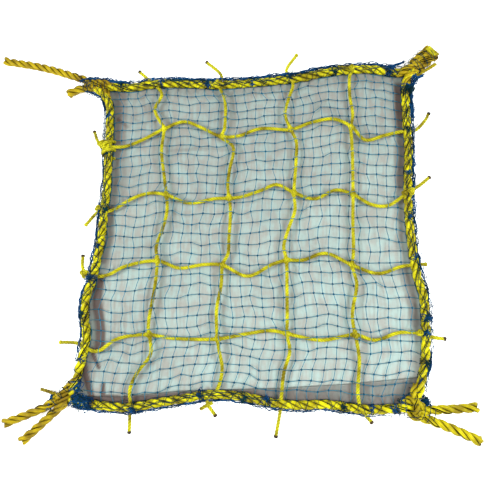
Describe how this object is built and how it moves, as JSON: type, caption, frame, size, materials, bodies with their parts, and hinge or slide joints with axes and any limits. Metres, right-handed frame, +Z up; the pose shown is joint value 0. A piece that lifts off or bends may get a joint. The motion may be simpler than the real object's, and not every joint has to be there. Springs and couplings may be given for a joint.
{
  "type": "cargo net sample",
  "caption": "Square rope net laid flat: border ropes lashed at the corners with loose tie ends, thin ropes woven across, a fine knotted overlay net laced to the borders and a cloth behind.",
  "frame": {"origin": "middle of the net on the surface that the cloth lies on", "axes": "+Z up out of the net, +Y towards the longest tie end's side, +X towards the side without a long tie end at the top"},
  "size_m": [0.7627, 0.6369, 0.0224],
  "materials": {
    "border_rope": "three-strand yellow rope with a black tracer",
    "thin_rope": "braided yellow cord",
    "blue_twine": "knotted dark blue twine",
    "cloth": "plain woven"
  },
  "bodies": {
    "net": {"border_rope_top": "border_rope", "border_rope_right": "border_rope", "border_rope_bottom": "border_rope", "border_rope_left": "border_rope", "edge_lacing_top": "blue_twine", "edge_lacing_right": "blue_twine", "edge_lacing_bottom": "blue_twine", "edge_lacing_left": "blue_twine", "corner_lashing_top_left": "border_rope", "corner_lashing_top_right": "border_rope", "corner_lashing_bottom_left": "border_rope", "corner_lashing_bottom_right": "border_rope", "cord_end_top_right": "thin_rope", "cord_end_bottom_left": "thin_rope", "net_rope_down_1": "thin_rope", "net_rope_down_2": "thin_rope", "net_rope_down_3": "thin_rope", "net_rope_down_4": "thin_rope", "net_rope_across_1": "thin_rope", "net_rope_across_2": "thin_rope", "net_rope_across_3": "thin_rope", "net_rope_across_4": "thin_rope", "overlay_net": "blue_twine", "backing_cloth": "cloth"},
    "tie_ends_top_left": {"tie_end_top_left_long": "border_rope", "tie_end_top_left_short": "border_rope"},
    "tie_ends_top_right": {"tie_end_top_right_upper": "border_rope", "tie_end_top_right_lower": "border_rope"},
    "tie_ends_bottom_left": {"tie_end_bottom_left_long": "border_rope", "tie_end_bottom_left_short": "border_rope"},
    "tie_ends_bottom_right": {"tie_end_bottom_right_upper": "border_rope", "tie_end_bottom_right_lower": "border_rope"}
  },
  "joints": [
    {"name": "lift_tie_ends_top_left", "type": "hinge", "parent": "net", "child": "tie_ends_top_left", "pos_m": [-0.27457, 0.25683, 0.0155], "axis": [0.0321, 0.9995, 0], "range_deg": [0, 70]},
    {"name": "lift_tie_ends_top_right", "type": "hinge", "parent": "net", "child": "tie_ends_top_right", "pos_m": [0.28111, 0.28301, 0.0155], "axis": [0.7015, -0.7127, 0], "range_deg": [0, 70]},
    {"name": "lift_tie_ends_bottom_left", "type": "hinge", "parent": "net", "child": "tie_ends_bottom_left", "pos_m": [-0.27772, -0.26471, 0.0155], "axis": [-0.6239, 0.7815, 0], "range_deg": [0, 70]},
    {"name": "lift_tie_ends_bottom_right", "type": "hinge", "parent": "net", "child": "tie_ends_bottom_right", "pos_m": [0.25248, -0.26484, 0.0155], "axis": [-0.354, -0.9352, 0], "range_deg": [0, 70]}
  ]
}
